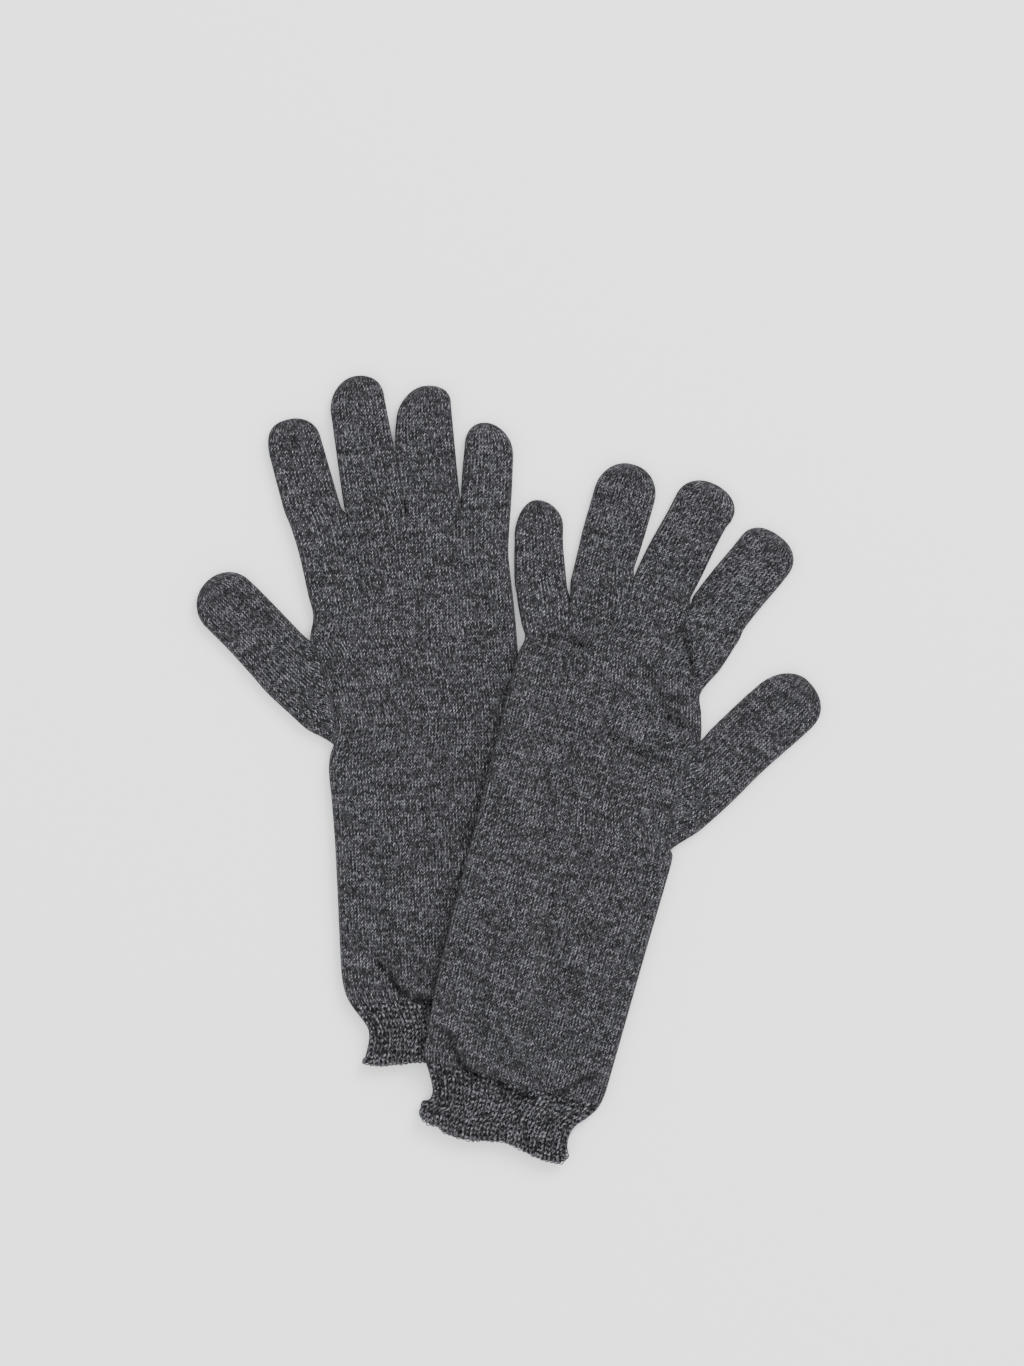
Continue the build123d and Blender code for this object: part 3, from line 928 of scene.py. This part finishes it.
def thread_material(name, dark, light, grain):
    """Spun thread: twisted fibres along a tube."""
    material, tree, shader, around, length = new_material(
        name, Roughness=0.9, Specular_IOR_Level=0.2, Sheen_Weight=0.1)
    m = Maths(tree)
    twist = m.plus(m.times(around, 3.0), length)
    ply = m.do("SINE", m.times(twist, math.tau))
    speck = m.noise(node(tree, "ShaderNodeTexCoord").outputs["Object"], grain, 3.0, 0.7)
    share = m.plus(m.times(m.minus(speck, 0.5), 2.2), m.plus(m.times(ply, 0.12), 0.42))
    ramp = node(tree, "ShaderNodeValToRGB")
    ramp.color_ramp.elements[0].color = (*dark, 1)
    ramp.color_ramp.elements[1].color = (*light, 1)
    tree.links.new(share, ramp.inputs[0])
    tree.links.new(ramp.outputs[0], shader.inputs["Base Color"])
    add_bump(tree, shader, m.plus(ply, speck), 0.5, 0.15)
    return material


PLAIN = knit_material(
    "plain_knit", (0.0062, 0.0062, 0.0069), (0.0270, 0.0267, 0.0295), (0.170, 0.168, 0.183),
    depth=0.4, ribbed=False, seed=1.0)
RIB = knit_material(
    "rib_knit", (0.0024, 0.0024, 0.0028), (0.0195, 0.0193, 0.0213), (0.195, 0.193, 0.210),
    depth=0.6, ribbed=True, seed=2.0)
THREAD = thread_material("hem_thread", (0.006, 0.006, 0.0066), (0.15, 0.148, 0.16), grain=1500.0)
ELASTIC = thread_material("elastic_thread", (0.008, 0.008, 0.009), (0.045, 0.045, 0.049), grain=900.0)


def finish_piece(obj, material, node_name=None):
    """Gives a piece its material and hides the CAD part that it stands in for."""
    obj.data.materials.clear()
    obj.data.materials.append(material)
    if node_name:
        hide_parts(node_name)


# -------------------- the gloves


def stitch_numbers(grid, outline):
    """Wale numbers across the trunk, by the length of cloth along the sleeve's middle row."""
    row = sum(grid["zones"]["sleeve"]) // 2
    across = run_along(np.stack([grid["x"][row], outline[row]], -1))
    return across * WALES / across[-1]


def trunk_pieces(glove, grid, top, under, wales):
    """The hem's band, the cuff, the sleeve and the hand, by zone."""
    side = glove["side"]
    course = grid["y"] / COURSE
    ribs = np.linspace(0, RIBS, COLUMNS + 1)
    zones = {
        "sleeve": ("sleeve_knit", CLOTH, PLAIN, "plain_knit", (SLEEVE_ROUND, WRIST[side] - CUFF_TOP)),
        "hand": ("hand_knit", CLOTH, PLAIN, "plain_knit", (HAND_ROUND, HAND_LENGTH[side])),
        "rib_cuff": ("rib_cuff_knit", RIB_CLOTH, RIB, "rib_knit", CUFF_FLAT),
        "cuff_hem": ("cuff_hem_band", RIB_CLOTH, RIB, "rib_knit", None),
    }
    made = {}
    for zone, (name, cloth, material, slot, flat) in zones.items():
        start, end = grid["zones"][zone]
        rows = slice(start, end + 1)
        across, whole = (wales, WALES) if material is PLAIN else (ribs, RIBS)
        grids = [
            (top[rows], uv_grid(across, course[rows]), False),
            (under[rows], uv_grid(2 * whole - across, course[rows]), True),
        ]
        made[zone] = piece(f"{side}_{name}", grids, cloth)
        finish_piece(made[zone], material, f"{side}_{zone}")
    return made


def hem_thread(glove, top, under):
    """The overlock thread wound round the edge of the hem's band."""
    edge = np.concatenate([top[0], under[0][::-1][1:-1]])
    further_in = np.concatenate([top[3], under[3][::-1][1:-1]])
    outward = unit(edge - further_in)
    loops = overlock(edge - outward * LOOP_INSET, outward, LOOP_SEED[glove["side"]])
    obj = piece(f"{glove['side']}_cuff_hem_thread", [loops], 0)
    finish_piece(obj, THREAD)
    return obj


def elastic(glove, grid, top, under):
    """The rings of elastic thread inside the cuff."""
    start, end = grid["zones"]["rib_cuff"]
    rings = []
    for k in range(1, ELASTIC_RINGS + 1):
        row = start + int(round(k * (end - start) / (ELASTIC_RINGS + 1)))
        inside = grid["distance"][row] > ELASTIC_INSET
        upper = top[row][inside] - [0, 0, RIB_CLOTH + 0.5]
        lower = under[row][inside] + [0, 0, RIB_CLOTH + 0.3]
        rings.append(tube(np.concatenate([upper, lower[::-1]]), ELASTIC_RADIUS))
    obj = piece(f"{glove['side']}_elastic_rings", rings, 0)
    finish_piece(obj, ELASTIC, f"{glove['side']}_cuff_elastic")
    return obj


def finger_piece(glove, name, grids):
    """A finger's piece, with its transform baked into its points."""
    side = glove["side"]
    finger, place = glove["fingers"][name], finger_place(glove, name)
    obj = piece(f"{side}_{name}_knit", grids, CLOTH)
    finish_piece(obj, PLAIN, f"{side}_{name}")
    line = (place.end - place.start) / np.linalg.norm(place.end - place.start)
    out = np.array([line[1], -line[0]])
    out = out if out @ place.axis > 0 else -out
    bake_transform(obj)


def add_fingers(glove, grid, top, under, wales):
    for k, name in enumerate(glove["order"]):
        part = slice(grid["bounds"][k], grid["bounds"][k + 1] + 1)
        roots = top[-1, part], under[-1, part]
        upper, lower, v, root_v = finger_layers(glove, name, *roots, FINGER_SEED + k)
        # the stitches run on from the hand and are evenly spaced further out
        run = run_along(upper[len(upper) // 2])
        even = wales[part].mean() + (run - run[-1] / 2) / WALE
        settled = smooth((v - root_v) / 10.0)
        across = wales[part] * (1 - settled) + even * settled
        course = grid["y"][-1, part] / COURSE + (v - root_v) / COURSE
        under_across = 2 * WALES - across + FINGER_UNDER
        grids = [(upper, uv_grid(across, course), False), (lower, uv_grid(under_across, course), True)]
        finger_piece(glove, name, grids)


def add_thumb(glove, grid, top, under):
    start, end = grid["thumb"]
    opening = slice(start, end + 1), grid["side"]
    upper, lower, v, _ = finger_layers(glove, "thumb", top[opening], under[opening], THUMB_SEED)
    across = run_along(upper[len(upper) // 2]) / WALE
    flip = glove["sign"] > 0
    under_uv = uv_grid(across + THUMB_UNDER, v / COURSE)
    grids = [(upper, uv_grid(across, v / COURSE), flip), (lower, under_uv, not flip)]
    finger_piece(glove, "thumb", grids)


def build(side, other_top=None):
    """Makes a glove's pieces, and returns its top layer as the next glove's cloth meets it."""
    glove = GLOVES[side]
    grid = trunk_grid(glove)
    share = heights(glove, grid)
    outline = layer_top(THICK, share)
    base = 0.0 if other_top is None else drape(glove, grid, other_top)
    top, under = trunk_layers(glove, grid, share, base, pucker(glove, grid, outline))
    wales = stitch_numbers(grid, outline)
    made = trunk_pieces(glove, grid, top, under, wales)
    trunk_body = f"{side}_glove"
    thread = hem_thread(glove, top, under)
    rings = elastic(glove, grid, top, under)
    for obj in (made["rib_cuff"], made["cuff_hem"], thread, rings):
        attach(obj, trunk_body)
    hand_body = "left_glove" if side == "left" else "right_hand_body"
    if side == "left":
        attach(made["sleeve"], trunk_body)
        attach(made["hand"], hand_body)
    else:
        for zone in ("sleeve", "hand"):
            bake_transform(made[zone])
    add_fingers(glove, grid, top, under, wales)
    add_thumb(glove, grid, top, under)
    return top[np.ix_(*coarse_places(grid["x"].shape))] + [0, 0, 0.2]


left_top = build("left")
build("right", left_top)

# -------------------- floor, light and camera, in metres

FLOOR_HALF = 4.0
FLOOR_HEIGHT = -0.0003
CLOTH_MIDDLE = 0.004
CAMERA_HEIGHT = 2.6  # above the cloth's middle
VIEW_LENGTH = 0.62836  # the longer side of the camera's view of the table
VIEW_CENTRE = (0.0019, 0.0394)
SENSOR = 36  # mm

corners = [[(x, y, FLOOR_HEIGHT) for x in (-FLOOR_HALF, FLOOR_HALF)] for y in (-FLOOR_HALF, FLOOR_HALF)]
floor = grid_mesh("floor", np.array(corners))
paper = bpy.data.materials.new("paper")
paper.use_nodes = True
set_inputs(
    paper.node_tree.nodes["Principled BSDF"],
    Base_Color=(0.94, 0.94, 0.938, 1), Roughness=0.95, Specular_IOR_Level=0.1)
floor.data.materials.append(paper)

world = bpy.data.worlds.new("studio")
world.use_nodes = True
set_inputs(world.node_tree.nodes["Background"], Color=(0.97, 0.98, 1.0, 1), Strength=2.05)
bpy.context.scene.world = world


def panel(name, place, size, power):
    """A soft light that faces the middle of the floor."""
    light = bpy.data.lights.new(name, "AREA")
    light.shape = "SQUARE"
    light.size = size
    light.energy = power
    obj = add_object(name, light)
    obj.location = place
    obj.rotation_mode = "QUATERNION"
    obj.rotation_quaternion = (-Vector(place)).to_track_quat("-Z", "Y")


panel("key", (1.5, 1.9, 2.1), 1.5, 95)
panel("fill", (-1.4, -1.2, 2.4), 2.0, 12)

camera = add_object("camera", bpy.data.cameras.new("camera"))
camera.data.lens = SENSOR * CAMERA_HEIGHT / VIEW_LENGTH
camera.data.sensor_width = SENSOR
camera.location = (*VIEW_CENTRE, CAMERA_HEIGHT + CLOTH_MIDDLE)
camera.data.clip_end = 50
bpy.context.scene.camera = camera
